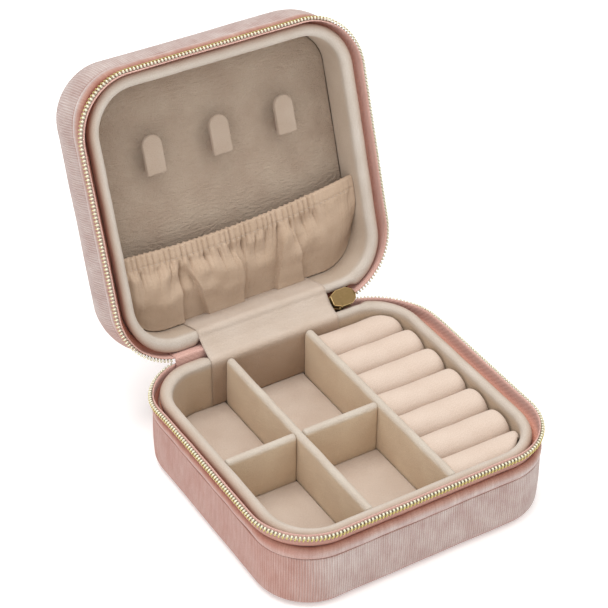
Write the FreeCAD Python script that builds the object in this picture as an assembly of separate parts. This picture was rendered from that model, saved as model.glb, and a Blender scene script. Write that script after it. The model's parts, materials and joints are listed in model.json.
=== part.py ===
import FreeCAD, Part
import math
import os

os.makedirs("parts", exist_ok=True)

V = FreeCAD.Vector

# ---------------------------------------------------------------- dimensions
# Millimetres. +Z up, +Y to the hinge at the back. The origin is the centre of
# the bottom face. The lid is drawn upside down over the base (its mouth up,
# like the base), mirrored onto it and then opened about the hinge.
HALF_W, HALF_D = 49.6, 47.6        # velvet outside, half width and half depth
CORNER_R = 18.0                    # upright corners of the shell
EDGE_R = 3.5                       # rounded bottom edge of the shell
VELVET_T = 0.8
BOARD_T = 1.4
SEAM_Z = 19.4                      # seam between side velvet and edge band
BAND_TOP_Z = 23.4
BAND_OUT = 0.4                     # the edge band stands this far proud
MID_Z = 28.3                       # plane where the two halves meet
LID_BACK_Z = 4.0                   # outside of the lid, in upside-down heights

WALL_W, WALL_D = 46.7, 44.65       # lining wall, outside
WALL_T = 3.0
WALL_R = 18.0
INNER_W, INNER_D, INNER_R = WALL_W - WALL_T, WALL_D - WALL_T, WALL_R - WALL_T
GAP = 0.05                         # clearance between pieces that touch
RIM_Z = 26.5                       # top of the lining wall
RIM_ROUND = 1.45
FLOOR_Z, FLOOR_T = 8.5, 1.6        # tray floor, upper face and thickness
PANEL_Z, PANEL_T = 14.0, 2.0       # lid panel, same heights upside down

DIV_T, DIV_TOP_Z = 3.0, 26.0
DIV_LEFT_X, DIV_RIGHT_X = -17.6, 12.1
CROSS_Y = -1.8
ROLLS = 7
ROLL_TOP_Z = 24.3

ZIP_X, ZIP_FRONT, ZIP_BACK = 50.9, -47.5, 47.0   # middle of the coil
ZIP_R = (17.5, 17.5, 22.0, 20.0)   # front left, front right, back right, back left
COIL_T, COIL_Z0, COIL_Z1 = 1.4, 25.6, 28.1
TAPE_T = 0.4
TAPE_TOP_Z = 28.0
TAPE_STEP_Z = BAND_TOP_Z + 0.15    # where the tape crosses the shell's edge
TAPE_FOOT_Z = 16.0
ZIP_LEFT_END = -36.0               # the coils stop here at the back, left
ZIP_RIGHT_END = 34.8               # ... and here, right, outside the parked slider

HINGE_Y, HINGE_Z = 47.05, 28.3
OPEN_DEG = 108.5
STRIP_HALF, STRIP_T = 24.0, 0.5    # lining strip across the hinge
SPINE_X0, SPINE_X1 = -35.8, 23.6   # velvet spine across the hinge
SPINE_FOOT_X0 = -31.2
SPINE_Y0, SPINE_Y1 = 46.0, 46.85

HOOK_X = (-24.0, 0.0, 24.0)
HOOK_W, HOOK_T = 6.8, 1.6
HOOK_Y0, HOOK_Y1 = -23.3, -10.3
HOOK_GAP = 3.5
POCKET_T, POCKET_LIFT = 0.8, 4.4
CASING_W, CASING_T, CASING_SKIN = 4.2, 1.8, 0.5
MOUTH_LEFT_Y, MOUTH_MID_Y, MOUTH_RIGHT_Y = 12.4, 13.4, 9.2   # the mouth sags in the middle
POCKET_HEM_Y, HEM_LEAN = 40.9, 0.55

SLIDER_X, SLIDER_L, SLIDER_HALF_H = 28.9, 9.2, 2.95
SLIDER_IN, SLIDER_OUT, PLATE_T = 45.1, 47.9, 0.7
SLIDER_TILT = OPEN_DEG / 2         # it sits halfway between the two halves
ARCH_W, ARCH_REACH = 1.2, 4.05     # arch that holds the pull, out from the hinge
PIVOT_REACH = 3.0
PULL_T, PULL_W, PULL_L = 0.7, 5.6, 18.0
PULL_NECK_W, PULL_NECK_L, PULL_WINDOW_L = 3.8, 2.6, 2.5

FAR = 60.0                         # beyond everything, for cutting tools


# ------------------------------------------------------------------- helpers
def loop(x0, x1, y0, y1, radii, z):
    """Rounded rectangle; radii run front left, front right, back right, back left."""
    fl, fr, br, bl = radii
    s = math.sqrt(0.5)

    def arc(cx, cy, r, a0, am, a1):
        p = [V(cx + r * a[0], cy + r * a[1], z) for a in (a0, am, a1)]
        return Part.Arc(*p).toShape()

    edges = [
        Part.makeLine(V(x0 + fl, y0, z), V(x1 - fr, y0, z)),
        arc(x1 - fr, y0 + fr, fr, (0, -1), (s, -s), (1, 0)),
        Part.makeLine(V(x1, y0 + fr, z), V(x1, y1 - br, z)),
        arc(x1 - br, y1 - br, br, (1, 0), (s, s), (0, 1)),
        Part.makeLine(V(x1 - br, y1, z), V(x0 + bl, y1, z)),
        arc(x0 + bl, y1 - bl, bl, (0, 1), (-s, s), (-1, 0)),
        Part.makeLine(V(x0, y1 - bl, z), V(x0, y0 + fl, z)),
        arc(x0 + fl, y0 + fl, fl, (-1, 0), (-s, -s), (0, -1)),
    ]
    return Part.Face(Part.Wire(edges))


def prism(half_w, half_d, r, z0, z1):
    face = loop(-half_w, half_w, -half_d, half_d, (r, r, r, r), z0)
    return face.extrude(V(0, 0, z1 - z0))


def zip_prism(grow, z0, z1):
    """The zipper's loop, grown or shrunk by grow."""
    radii = [r + grow for r in ZIP_R]
    face = loop(-ZIP_X - grow, ZIP_X + grow, ZIP_FRONT - grow, ZIP_BACK + grow, radii, z0)
    return face.extrude(V(0, 0, z1 - z0))


def box(x0, x1, y0, y1, z0, z1):
    return Part.makeBox(x1 - x0, y1 - y0, z1 - z0, V(x0, y0, z0))


def level_edges(shape, z, radius):
    """Fillet every edge that lies at height z."""
    edges = [e for e in shape.Edges
             if abs(e.BoundBox.ZMin - z) < 1e-4 and abs(e.BoundBox.ZMax - z) < 1e-4]
    return shape.makeFillet(radius, edges)


def side_profile(points, x0, x1):
    """Extrude a closed Y-Z outline from x0 to x1."""
    wire = Part.makePolygon([V(x0, y, z) for y, z in points + points[:1]])
    return Part.Face(wire).extrude(V(x1 - x0, 0, 0))


def clean(shape):
    shape = shape.removeSplitter()
    return shape.Solids[0] if len(shape.Solids) == 1 else shape


# --------------------------------------------------------------- shell halves
def velvet(z_bottom):
    """Side and bottom velvet, up to the seam."""
    outer = level_edges(prism(HALF_W, HALF_D, CORNER_R, z_bottom, SEAM_Z), z_bottom, EDGE_R)
    w, d, r = HALF_W - VELVET_T, HALF_D - VELVET_T, CORNER_R - VELVET_T
    z = z_bottom + VELVET_T
    inner = level_edges(prism(w, d, r, z, SEAM_Z + 1), z, EDGE_R - VELVET_T)
    return clean(outer.cut(inner))


def board(z_bottom):
    """Rigid board box under the velvet."""
    z = z_bottom + VELVET_T
    w, d, r = HALF_W - VELVET_T, HALF_D - VELVET_T, CORNER_R - VELVET_T
    top = BAND_TOP_Z - VELVET_T
    outer = level_edges(prism(w, d, r, z, top), z, EDGE_R - VELVET_T)
    inner = prism(w - BOARD_T, d - BOARD_T, r - BOARD_T, z + BOARD_T, top + 1)
    return clean(outer.cut(inner))


def band():
    """Turned-over velvet edge band above the seam."""
    w, d, r = HALF_W + BAND_OUT, HALF_D + BAND_OUT, CORNER_R + BAND_OUT
    outer = prism(w, d, r, SEAM_Z, BAND_TOP_Z)
    rims = [e for e in outer.Edges
            if abs(e.BoundBox.ZMin - e.BoundBox.ZMax) < 1e-4]
    outer = outer.makeFillet(1.1, rims)
    t = VELVET_T + BOARD_T
    mouth = prism(HALF_W - t, HALF_D - t, CORNER_R - t, SEAM_Z - 1, BAND_TOP_Z + 1)
    seat = prism(HALF_W - VELVET_T, HALF_D - VELVET_T, CORNER_R - VELVET_T,
                 SEAM_Z - 1, BAND_TOP_Z - VELVET_T)
    return clean(outer.cut(mouth).cut(seat))


def back_gap(x0, x1):
    return box(x0, x1, INNER_D - 4, FAR, 0, FAR)


def tape():
    """Zipper tape: glued foot, step over the shell's edge, upright edge."""
    z0 = TAPE_STEP_Z
    half_t = COIL_T / 2
    within = prism(WALL_W + GAP, WALL_D + GAP, WALL_R, 0, FAR)
    upright = zip_prism(-half_t, z0, TAPE_TOP_Z).cut(zip_prism(-half_t - TAPE_T, 0, FAR))
    step = zip_prism(-half_t, z0, z0 + TAPE_T).cut(within)
    foot = prism(WALL_W + GAP + TAPE_T, WALL_D + GAP + TAPE_T, WALL_R,
                 TAPE_FOOT_Z, z0 + TAPE_T).cut(within)
    upright = upright.cut(back_gap(ZIP_LEFT_END, ZIP_RIGHT_END))
    lower = step.fuse(foot).cut(back_gap(SPINE_X0 - 2 * GAP, SPINE_X1 + 2 * GAP))
    return clean(upright.fuse(lower))


def coil():
    ring = zip_prism(COIL_T / 2, COIL_Z0, COIL_Z1).cut(
        zip_prism(-COIL_T / 2, COIL_Z0 - 1, COIL_Z1 + 1))
    return clean(ring.cut(back_gap(ZIP_LEFT_END, ZIP_RIGHT_END)))


def wall(z_bottom):
    """Padded lining wall with a rounded rim."""
    outer = prism(WALL_W, WALL_D, WALL_R, z_bottom, RIM_Z)
    inner = prism(INNER_W, INNER_D, INNER_R, z_bottom - 1, RIM_Z + 1)
    return level_edges(outer.cut(inner), RIM_Z, RIM_ROUND)


def inside(z0, z1, gap=GAP):
    """Everything within the lining wall."""
    return prism(INNER_W - gap, INNER_D - gap, INNER_R - gap, z0, z1)


def spine():
    """One half of the velvet spine across the hinge."""
    z0 = TAPE_STEP_Z
    foot0, foot1 = WALL_D + GAP, WALL_D + GAP + TAPE_T
    foot = box(SPINE_FOOT_X0, SPINE_X1, foot0, foot1, TAPE_FOOT_Z, z0 + TAPE_T)
    step = box(SPINE_FOOT_X0, SPINE_X1, foot0, SPINE_Y1, z0, z0 + TAPE_T)
    upright = box(SPINE_X0, SPINE_X1, SPINE_Y0, SPINE_Y1, z0, MID_Z - 3 * GAP)
    return clean(foot.fuse(step).fuse(upright))


def strip(z_foot):
    """One half of the lining strip: up the wall, over the rim, to the spine."""
    body = box(-STRIP_HALF, STRIP_HALF, INNER_D - STRIP_T, SPINE_Y0 - 2 * GAP,
               z_foot, RIM_Z + STRIP_T)
    edge = [e for e in body.Edges
            if abs(e.BoundBox.YMax - (INNER_D - STRIP_T)) < 1e-4
            and abs(e.BoundBox.ZMin - (RIM_Z + STRIP_T)) < 1e-4]
    body = body.makeFillet(RIM_ROUND + STRIP_T, edge)
    core = box(-FAR, FAR, INNER_D, WALL_D, z_foot - 1, RIM_Z)
    tops = [e for e in core.Edges
            if abs(e.BoundBox.ZMin - RIM_Z) < 1e-4 and e.BoundBox.XLength > 100]
    core = core.makeFillet(RIM_ROUND, tops)
    behind = box(-FAR, FAR, WALL_D - RIM_ROUND, FAR, z_foot - 1, RIM_Z)
    return clean(body.cut(core).cut(behind))


# -------------------------------------------------------------------- inside
def divider_long(x):
    body = box(x - DIV_T / 2, x + DIV_T / 2, -(INNER_D - GAP), INNER_D - STRIP_T - GAP,
               FLOOR_Z, DIV_TOP_Z)
    edges = [e for e in body.Edges
             if abs(e.BoundBox.ZMin - DIV_TOP_Z) < 1e-4 and e.BoundBox.YLength > 10]
    return body.makeFillet(DIV_T / 2 - GAP, edges)


def divider_cross(x0, x1):
    body = box(x0, x1, CROSS_Y - DIV_T / 2, CROSS_Y + DIV_T / 2, FLOOR_Z, DIV_TOP_Z)
    edges = [e for e in body.Edges
             if abs(e.BoundBox.ZMin - DIV_TOP_Z) < 1e-4 and e.BoundBox.XLength > 10]
    return body.makeFillet(DIV_T / 2 - GAP, edges)


def ring_roll(index):
    pitch = 2 * INNER_D / ROLLS
    y = (index - (ROLLS - 1) / 2) * pitch
    r = pitch / 2 - 0.04
    x0, x1 = DIV_RIGHT_X + DIV_T / 2 + GAP, INNER_W - 4 * GAP
    body = box(x0, x1, y - r, y + r, FLOOR_Z, ROLL_TOP_Z - r)
    body = body.fuse(Part.makeCylinder(r, x1 - x0, V(x0, y, ROLL_TOP_Z - r), V(1, 0, 0)))
    body = body.common(inside(FLOOR_Z, RIM_Z, 4 * GAP))
    if index == ROLLS - 1:
        body = body.cut(box(0, STRIP_HALF + 2 * GAP, INNER_D - STRIP_T - GAP, FAR, 0, FAR))
    return clean(body)


def hook_tab(x):
    z0 = PANEL_Z + HOOK_GAP
    r = HOOK_W / 2
    body = box(x - r, x + r, HOOK_Y0 + r, HOOK_Y1, z0, z0 + HOOK_T)
    body = body.fuse(Part.makeCylinder(r, HOOK_T, V(x, HOOK_Y0 + r, z0)))
    return level_edges(clean(body), z0 + HOOK_T, 0.5)


def hook_post(x):
    return box(x - 2.0, x + 2.0, HOOK_Y1 - 5.0, HOOK_Y1 - 0.6, PANEL_Z, PANEL_Z + HOOK_GAP)


def mouth_band(front, back, z0, z1):
    """A slab along the pocket's sagging mouth, from front to back of the mouth line."""
    half = INNER_W - 2 * GAP
    line = [(-half, MOUTH_LEFT_Y), (0, MOUTH_MID_Y), (half, MOUTH_RIGHT_Y)]
    near = [V(x, y + front, z0) for x, y in line]
    far = [V(x, y + back, z0) for x, y in reversed(line)]
    edges = [Part.Arc(*near).toShape(), Part.makeLine(near[2], far[0]),
             Part.Arc(*far).toShape(), Part.makeLine(far[2], near[0])]
    return Part.Face(Part.Wire(edges)).extrude(V(0, 0, z1 - z0))


def pocket_sheet(base_z):
    """The cloth below the casing: bellied, and drawn in to the panel at its hem."""
    half = INNER_W - 2 * GAP
    top = [(5.0, base_z + 1.0), (22.0, base_z + 2.1), (31.0, base_z + 1.9),
           (37.3, base_z - 0.4), (POCKET_HEM_Y, PANEL_Z + 0.9)]
    low = [(y - (HEM_LEAN if i > 2 else 0.0), z - POCKET_T) for i, (y, z) in enumerate(top)]
    curves = []
    for pts in (top, low[::-1]):
        spline = Part.BSplineCurve()
        spline.interpolate([V(-half, y, z) for y, z in pts])
        curves.append(spline.toShape())
    ends = [Part.makeLine(V(-half, *top[-1]), V(-half, *low[-1])),
            Part.makeLine(V(-half, *low[0]), V(-half, *top[0]))]
    face = Part.Face(Part.Wire([curves[0], ends[0], curves[1], ends[1]]))
    return face.extrude(V(2 * half, 0, 0))


def pocket():
    base_z = PANEL_Z + POCKET_LIFT
    casing = mouth_band(0, CASING_W, base_z, base_z + CASING_T)
    hollow = mouth_band(CASING_SKIN, CASING_W - CASING_SKIN,
                        base_z + CASING_SKIN, base_z + CASING_T - CASING_SKIN)
    sheet = pocket_sheet(base_z).cut(mouth_band(-FAR, CASING_W, 0, RIM_Z))
    return clean(sheet.fuse(casing.cut(hollow)).common(inside(PANEL_Z, RIM_Z, 2 * GAP)))


def elastic():
    base_z = PANEL_Z + POCKET_LIFT
    skin = CASING_SKIN + 2 * GAP
    return mouth_band(skin, CASING_W - skin, base_z + skin, base_z + CASING_T - skin)


# -------------------------------------------------------------------- slider
def slider_plate(y, t):
    """Shield outline, blunt at the tail and rounded at the nose."""
    x0, x1 = SLIDER_X - SLIDER_L / 2, SLIDER_X + SLIDER_L / 2
    h = SLIDER_HALF_H
    pts = [(x0, 0.6 * h), (x0 + 2.6, h), (x1 - 2.6, h), (x1 - 0.7, 0.6 * h), (x1, 0.0)]
    pts = pts + [(x, -z) for x, z in reversed(pts[:-1])]
    wire = Part.makePolygon([V(x, y, MID_Z + z) for x, z in pts + pts[:1]])
    body = Part.Face(wire).extrude(V(0, t, 0))
    corners = [e for e in body.Edges if abs(e.BoundBox.YLength - t) < 1e-4]
    return body.makeFillet(0.6, corners)


def slider():
    """Upright, as it stands with the case shut."""
    h = SLIDER_HALF_H
    body = slider_plate(SLIDER_IN, PLATE_T).fuse(slider_plate(SLIDER_OUT, PLATE_T))
    post = Part.makeCylinder(1.1, SLIDER_OUT - SLIDER_IN, V(SLIDER_X + 2.6, SLIDER_IN, MID_Z),
                             V(0, 1, 0))
    body = body.fuse(post)
    for z in (MID_Z - h, MID_Z + h - 0.55):
        for y0, y1 in ((SLIDER_IN, SLIDER_IN + 1.35), (SLIDER_OUT - 0.65, SLIDER_OUT + 0.2)):
            body = body.fuse(box(SLIDER_X - 1.9, SLIDER_X + 1.9, y0, y1, z, z + 0.55))
    y = SLIDER_OUT + PLATE_T - 0.05
    reach = HINGE_Y + ARCH_REACH
    arch = box(SLIDER_X - ARCH_W / 2, SLIDER_X + ARCH_W / 2, y, reach, MID_Z - 1.75, MID_Z + 1.75)
    ends = [e for e in arch.Edges
            if abs(e.BoundBox.YMin - reach) < 1e-4 and abs(e.BoundBox.XLength - ARCH_W) < 1e-4]
    arch = arch.makeFillet(0.7, ends)
    opening = box(SLIDER_X - 2, SLIDER_X + 2, y - 0.5, reach - 0.5, MID_Z - 1.25, MID_Z + 1.25)
    return clean(body.fuse(arch.cut(opening)))


def pull_tab():
    """Hanging straight down from the round bar that it swings on."""
    y0 = HINGE_Y + PIVOT_REACH - PULL_T / 2
    half, neck, shoulder = PULL_W / 2, PULL_NECK_W / 2, 2 * PULL_NECK_L
    right = [(neck, 0), (neck, -PULL_NECK_L), (half, -shoulder), (half, half - PULL_L)]
    pts = right + [(-x, z) for x, z in reversed(right)]
    wire = Part.makePolygon([V(SLIDER_X + x, y0, MID_Z + z) for x, z in pts + pts[:1]])
    body = Part.Face(wire).extrude(V(0, PULL_T, 0))
    body = body.fuse(Part.makeCylinder(half, PULL_T, V(SLIDER_X, y0, MID_Z + half - PULL_L),
                                       V(0, 1, 0)))
    side = ARCH_W / 2 + 0.45
    window = box(SLIDER_X - side, SLIDER_X + side, y0 - 1, y0 + 2, MID_Z - PULL_WINDOW_L, FAR)
    bar = Part.makeCylinder(PULL_T / 2, PULL_NECK_W, V(SLIDER_X - neck, y0 + PULL_T / 2, MID_Z),
                            V(1, 0, 0))
    return clean(body.cut(window).fuse(bar))


def tilted(shape):
    return shape.rotate(V(0, HINGE_Y, HINGE_Z), V(1, 0, 0), -SLIDER_TILT)


def carried(shape):
    """Moved with its pivot on the tilted slider, but still hanging plumb."""
    a = math.radians(SLIDER_TILT)
    pivot = V(0, HINGE_Y + PIVOT_REACH * math.cos(a), HINGE_Z - PIVOT_REACH * math.sin(a))
    shape.translate(pivot - V(0, HINGE_Y + PIVOT_REACH, MID_Z))
    return shape


# ------------------------------------------------------------------ assembly
base = {
    "base_velvet": velvet(0),
    "base_board": board(0),
    "base_band": band(),
    "base_tape": tape(),
    "base_coil": coil(),
    "base_foam": inside(VELVET_T + BOARD_T, FLOOR_Z - FLOOR_T),
    "tray_wall": wall(VELVET_T + BOARD_T),
    "tray_floor": inside(FLOOR_Z - FLOOR_T, FLOOR_Z),
    "divider_left": divider_long(DIV_LEFT_X),
    "divider_right": divider_long(DIV_RIGHT_X),
    "cross_left": divider_cross(-(WALL_W - WALL_T - 0.05), DIV_LEFT_X - DIV_T / 2),
    "cross_middle": divider_cross(DIV_LEFT_X + DIV_T / 2, DIV_RIGHT_X - DIV_T / 2),
    "strip_base": strip(FLOOR_Z),
    "spine_base": spine(),
}
for i in range(ROLLS):
    base["ring_roll_%d" % (i + 1)] = ring_roll(i)

lid = {
    "lid_velvet": velvet(LID_BACK_Z),
    "lid_board": board(LID_BACK_Z),
    "lid_band": band(),
    "lid_tape": tape(),
    "lid_coil": coil(),
    "lid_foam": inside(LID_BACK_Z + VELVET_T + BOARD_T, PANEL_Z - PANEL_T),
    "lid_wall": wall(LID_BACK_Z + VELVET_T + BOARD_T),
    "lid_panel": inside(PANEL_Z - PANEL_T, PANEL_Z),
    "pocket": pocket(),
    "pocket_elastic": elastic(),
    "strip_lid": strip(PANEL_Z),
    "spine_lid": spine(),
}
for side, x in zip(("left", "middle", "right"), HOOK_X):
    lid["hook_tab_" + side] = hook_tab(x)
    lid["hook_post_" + side] = hook_post(x)

fittings = {"zip_slider": tilted(slider()), "pull_tab": carried(pull_tab())}


def opened(shape):
    """Mirror an upside-down lid part onto the base, then open the lid."""
    shape = shape.mirror(V(0, 0, MID_Z), V(0, 0, 1))
    return shape.rotate(V(0, HINGE_Y, HINGE_Z), V(1, 0, 0), -OPEN_DEG)


for name, shape in list(base.items()) + list(fittings.items()):
    shape.exportStep("parts/%s.step" % name)
for name, shape in lid.items():
    opened(shape).exportStep("parts/%s.step" % name)
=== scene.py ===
"""Looks of the travel jewelry case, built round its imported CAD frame.

Lengths are in mm until a mesh is made. The lid is drawn upside down over the base, then carried
to its open place.
"""
import json
import math

import bmesh
import bpy
import numpy as np
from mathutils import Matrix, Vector, noise


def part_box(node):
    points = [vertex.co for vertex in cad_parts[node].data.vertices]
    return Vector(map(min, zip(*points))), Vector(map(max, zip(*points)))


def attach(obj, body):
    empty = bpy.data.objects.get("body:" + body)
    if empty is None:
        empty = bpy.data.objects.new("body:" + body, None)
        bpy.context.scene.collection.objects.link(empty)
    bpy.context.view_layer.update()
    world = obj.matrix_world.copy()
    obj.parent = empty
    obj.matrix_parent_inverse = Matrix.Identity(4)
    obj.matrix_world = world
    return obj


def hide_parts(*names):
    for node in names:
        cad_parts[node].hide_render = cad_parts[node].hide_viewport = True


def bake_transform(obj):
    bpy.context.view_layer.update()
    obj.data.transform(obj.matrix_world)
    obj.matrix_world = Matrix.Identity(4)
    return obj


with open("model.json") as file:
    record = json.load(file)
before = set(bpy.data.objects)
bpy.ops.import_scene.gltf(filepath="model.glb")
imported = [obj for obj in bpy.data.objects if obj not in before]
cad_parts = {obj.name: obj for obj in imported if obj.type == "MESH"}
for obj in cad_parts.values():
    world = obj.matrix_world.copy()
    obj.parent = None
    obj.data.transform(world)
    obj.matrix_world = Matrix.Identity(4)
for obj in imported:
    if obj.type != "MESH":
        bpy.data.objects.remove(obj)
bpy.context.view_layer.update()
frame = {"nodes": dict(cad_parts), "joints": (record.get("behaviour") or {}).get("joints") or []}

MM = 0.001
noise.seed_set(7)                         # the same unevenness in the cloths on every run


# ---------------------------------------------------------------- dimensions
def node_box(node):
    """Lowest and highest corner of a CAD node, in mm."""
    low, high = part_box(node)
    return [c / MM for c in low], [c / MM for c in high]


HINGE = next(j for j in frame["joints"] if j["name"] == "lid_hinge")
HINGE_Y, MID_Z = HINGE["pos_m"][1] / MM, HINGE["pos_m"][2] / MM
OPEN = math.radians(HINGE["range_deg"][1])

_, SHELL = node_box("base_velvet")
_, BAND = node_box("base_band")
_, WALL = node_box("tray_wall")
COIL_LOW, COIL_HIGH = node_box("base_coil")
_, FLOOR = node_box("tray_floor")
_, DIVIDER = node_box("divider_left")

HALF_W, HALF_D = SHELL[0], SHELL[1]
CORNER_R, EDGE_R = 18.0, 3.5
SEAM_Z, BAND_TOP = 19.3, BAND[2]
WALL_W, WALL_D, WALL_R, RIM_Z = WALL[0], WALL[1], 16.5, WALL[2]
WALL_T = 3.0
RIM_ROUND = 1.45
FLOOR_Z, PANEL_Z = FLOOR[2], 14.0
LID_BACK_Z = 4.0
IN_W, IN_D, IN_R = WALL_W - WALL_T, WALL_D - WALL_T, WALL_R - WALL_T
DIV_T, DIV_TOP = 3.0, DIVIDER[2]
HALF_T = DIV_T / 2
DIV_X = [sum(node_box(n)[i][0] for i in (0, 1)) / 2 for n in ("divider_left", "divider_right")]
CROSS_Y = sum(node_box("cross_left")[i][1] for i in (0, 1)) / 2
ROLLS_RIGHT_X = 43.0                      # the ring rolls reach no further than this
HOOK_X = {"left": -24.0, "middle": 0.0, "right": 24.0}
HOOK_HALF_W, HOOK_TIP_Y, HOOK_ROOT_Y = 3.4, -23.3, -10.3
HOOK_LOW_Z, HOOK_HIGH_Z = PANEL_Z + 3.5, PANEL_Z + 5.1

COIL_T = 1.4
ZIP_X = COIL_HIGH[0] - COIL_T / 2
ZIP_FRONT, ZIP_BACK = COIL_LOW[1] + COIL_T / 2, 48.2
ZIP_R = (20.0, 20.0, 22.0, 20.0)          # front left, front right, back right, back left
ZIP_LEFT_END, ZIP_RIGHT_END = -33.4, 33.9  # where the tape stops at the hinge
TOOTH_LEFT_END = -35.0                    # the last teeth stop short, so that the halves clear each other
TAIL_END = 29.0                           # the base tape carries on under the slider to here
TOOTH_PITCH = 1.22
COIL_TOP = COIL_HIGH[2]
BACK_RUN_Y = 38.0                         # behind this the zipper runs along the hinge
STRIP_HALF = 24.0                         # half the width of the lining strip across the hinge
SPINE_X = (-34.2, 23.6)                   # the spine runs between these
RIB_COUNT = 444                           # ribs round one shell, 0.8 mm apart


# ------------------------------------------------------------------- geometry
def srgb(r, g, b):
    """A 0-255 display colour as the shader's linear one."""
    def lin(c):
        c /= 255
        return c / 12.92 if c <= 0.04045 else ((c + 0.055) / 1.055) ** 2.4
    return (lin(r), lin(g), lin(b), 1.0)


def to_lid(p):
    """A place drawn upside down over the base, carried to the open lid."""
    p = np.array(p, float)
    y, z = p[..., 1] - HINGE_Y, (2 * MID_Z - p[..., 2]) - MID_Z
    c, s = math.cos(-OPEN), math.sin(-OPEN)
    out = p.copy()
    out[..., 1] = HINGE_Y + y * c - z * s
    out[..., 2] = MID_Z + y * s + z * c
    return out


def rectangle(half_x, y0, y1, radii):
    """Pieces of a rounded rectangle, from near the middle of the back and round by the left."""
    fl, fr, br, bl = radii
    start = min(half_x - br, max(0.0, bl - half_x))
    return [("line", (start, y1), (-half_x + bl, y1)),
            ("arc", (-half_x + bl, y1 - bl), bl, 90),
            ("line", (-half_x, y1 - bl), (-half_x, y0 + fl)),
            ("arc", (-half_x + fl, y0 + fl), fl, 180),
            ("line", (-half_x + fl, y0), (half_x - fr, y0)),
            ("arc", (half_x - fr, y0 + fr), fr, 270),
            ("line", (half_x, y0 + fr), (half_x, y1 - br)),
            ("arc", (half_x - br, y1 - br), br, 0),
            ("line", (half_x - br, y1), (start, y1))]


def even_stations(shape, pitch):
    """(piece, share) pairs evenly spaced round the shape, and the distance to each."""
    lengths = [math.dist(p[1], p[2]) if p[0] == "line" else p[2] * math.pi / 2 for p in shape]
    total = sum(lengths)
    count = max(8, round(total / pitch))
    stations, along = [], []
    ends = np.cumsum(lengths)
    for k in range(count):
        s = k * total / count
        i = int(np.searchsorted(ends, s, side="right"))
        stations.append((i, (s - (ends[i] - lengths[i])) / lengths[i]))
        along.append(s)
    return stations, np.array(along + [total])


def place(shape, stations):
    """Points and outward normals of a shape at its stations."""
    pts, nrm = [], []
    for i, t in stations:
        kind, a, b, *rest = shape[i]
        if kind == "line":
            d = np.subtract(b, a) / max(math.dist(a, b), 1e-9)
            pts.append(np.add(a, np.multiply(np.subtract(b, a), t)))
            nrm.append((d[1], -d[0]))
        else:
            angle = math.radians(rest[0] + 90 * t)
            n = np.array((math.cos(angle), math.sin(angle)))
            pts.append(np.add(a, n * b))
            nrm.append(n)
    return np.array(pts), np.array(nrm)


def swept(pts, nrm, profile):
    """Grid of a profile of (outward offset, height) carried round the points."""
    grid = np.zeros((len(pts), len(profile), 3))
    for j, (off, z) in enumerate(profile):
        grid[:, j, :2] = pts + nrm * off
        grid[:, j, 2] = z
    return grid


def lengths_along(profile):
    """The distance along a line of points to each of them."""
    p = np.array(profile, float)
    return np.concatenate([[0], np.cumsum(np.linalg.norm(np.diff(p, axis=0), axis=1))])


def arc(cy, cz, r, a0, a1, steps):
    """Points along an arc, from a0 to a1 degrees."""
    return [(cy + r * math.cos(math.radians(a)), cz + r * math.sin(math.radians(a)))
            for a in np.linspace(a0, a1, steps + 1)]


def smooth(t):
    """An eased step: 0 below 0 and 1 above 1."""
    t = min(1.0, max(0.0, t))
    return t * t * (3 - 2 * t)


def rough(points, amount, size, seed):
    """Moves each point a little by smooth noise, as cloth over a board."""
    flat = points.reshape(-1, 3)
    shift = Vector((seed * 17.3, seed * 5.1, seed * 9.7))
    for p in flat:
        p += amount * np.array(noise.noise_vector(Vector(p) / size + shift))
    return flat.reshape(points.shape)


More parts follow.
